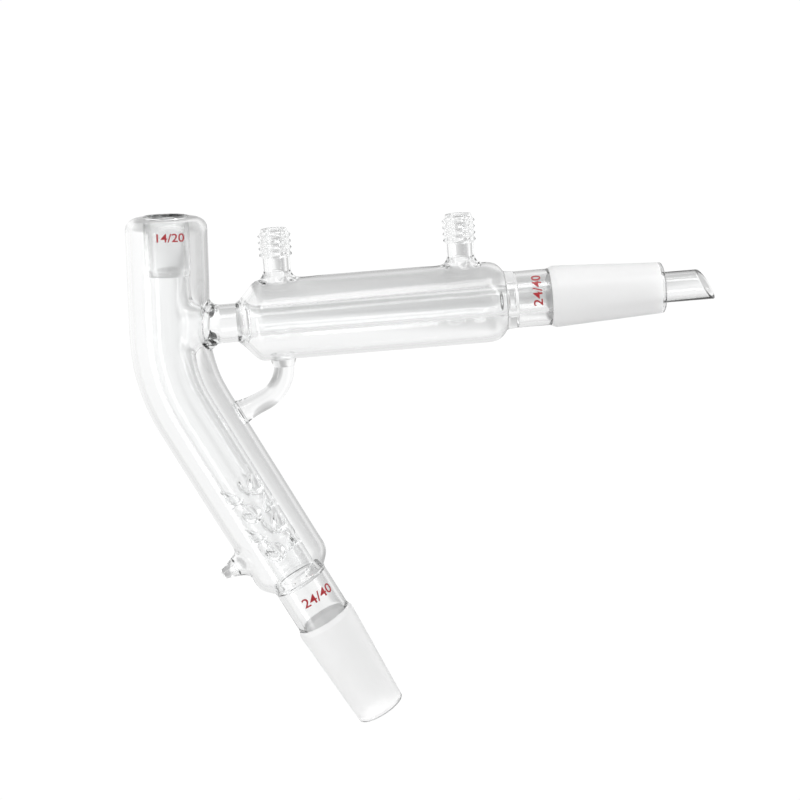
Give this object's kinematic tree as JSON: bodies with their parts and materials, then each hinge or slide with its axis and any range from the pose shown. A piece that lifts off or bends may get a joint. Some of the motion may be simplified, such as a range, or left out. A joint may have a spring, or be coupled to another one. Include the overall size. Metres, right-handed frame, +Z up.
{
  "type": "distillation head",
  "caption": "Vacuum-jacketed short-path distillation head of glass: bent column, thermometer socket, sloping water condenser and ground cones for flask and receiver.",
  "frame": {"origin": "centre of the flask cone's gauge plane, its 24 mm end", "axes": "+Z up along the axis of the flask cone, +X towards the receiver, Y across the plane of symmetry"},
  "size_m": [0.2236, 0.0314, 0.2173],
  "materials": {
    "clear_glass": "fire-polished, clear and colourless",
    "ground_glass": "ground matt on the joint's taper, clear on the neck"
  },
  "bodies": {
    "root": {"flask_cone": "ground_glass", "lower_ring_seal": "clear_glass", "column_jacket": "clear_glass", "column_tube": "clear_glass", "thermometer_socket": "ground_glass", "side_arm_collar": "clear_glass", "side_arm": "clear_glass", "condenser_inlet_seal": "clear_glass", "condenser_jacket": "clear_glass", "condenser_tube": "clear_glass", "condenser_outlet_seal": "clear_glass", "receiver_cone": "ground_glass", "drip_tip": "clear_glass", "water_outlet": "clear_glass", "water_inlet": "clear_glass", "bridge_rod": "clear_glass", "seal_off_tip": "clear_glass"}
  },
  "joints": []
}
